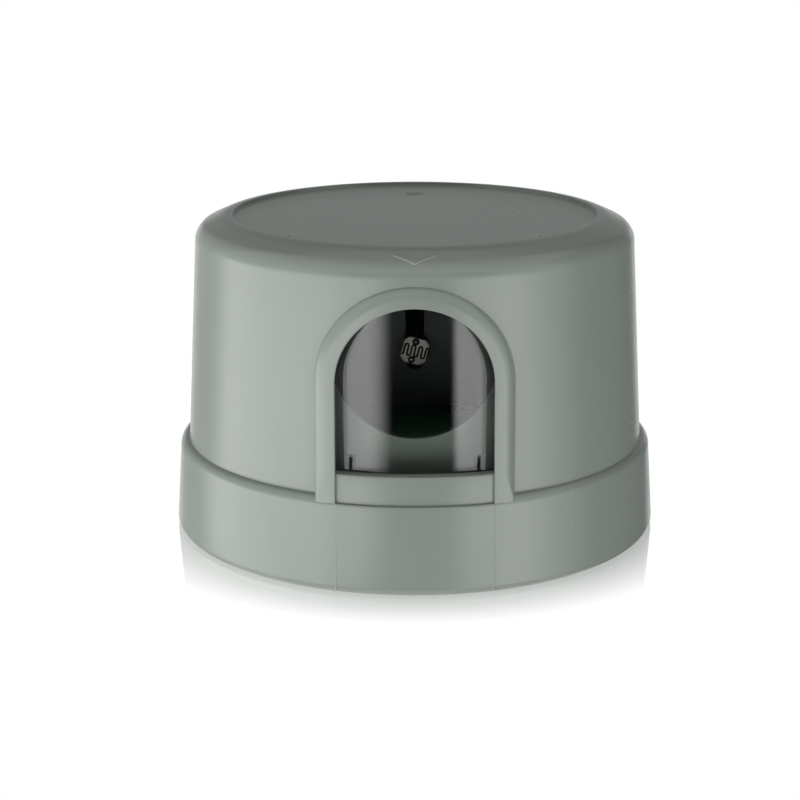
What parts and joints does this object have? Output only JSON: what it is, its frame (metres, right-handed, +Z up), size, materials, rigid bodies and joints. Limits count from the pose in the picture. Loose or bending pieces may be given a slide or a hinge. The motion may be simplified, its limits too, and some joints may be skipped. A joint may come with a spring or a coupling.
{
  "type": "photocell switch",
  "caption": "Drum-shaped plug-in photocell switch with a flared skirt, a recessed top disc, an arched sensor window and twist-lock blades inside the skirt; switches a street light at dusk.",
  "frame": {"origin": "centre of the skirt rim, in the plane of the rim that the part stands on", "axes": "+Z up through the top disc, -Y out of the middle of the sensor window, +X to the right of the window seen from outside"},
  "size_m": [0.0844, 0.0844, 0.055],
  "materials": {
    "cover_plastic": "satin moulded polypropylene, light grey with a slight green tint",
    "clear_lens": "clear polished moulding",
    "base_plastic": "satin moulded polypropylene, mid grey",
    "gasket_rubber": "soft black sealing rubber",
    "blade_brass": "stamped brass",
    "board_laminate": "green solder mask",
    "screw_steel": "plated steel",
    "relay_case": "blue moulded case",
    "film_case": "yellow moulded case",
    "can_sleeve": "dark shrink sleeve",
    "varistor_coat": "blue epoxy coat",
    "diode_body": "black moulded body with tinned leads",
    "zener_glass": "orange glass body with tinned leads",
    "resistor_coat": "beige coat with colour bands",
    "transistor_body": "black moulded body with tinned leads",
    "plate_plastic": "dark grey moulded plastic",
    "cell_ceramic": "pale ceramic disc with a dark track",
    "lead_tin": "tinned wire"
  },
  "bodies": {
    "root": {"cover": "cover_plastic", "window_lens": "clear_lens", "base": "base_plastic", "gasket": "gasket_rubber", "blade_line": "blade_brass", "blade_load": "blade_brass", "blade_neutral": "blade_brass", "blade_eyelets": "blade_brass", "circuit_board": "board_laminate", "board_screws": "screw_steel", "relay": "relay_case", "film_capacitor": "film_case", "electrolytic_capacitor": "can_sleeve", "varistor": "varistor_coat", "rectifier_diodes": "diode_body", "zener_diode": "zener_glass", "resistors": "resistor_coat", "transistor": "transistor_body", "sensor_plate": "plate_plastic", "photocell": "cell_ceramic", "photocell_leads": "lead_tin"}
  },
  "joints": []
}
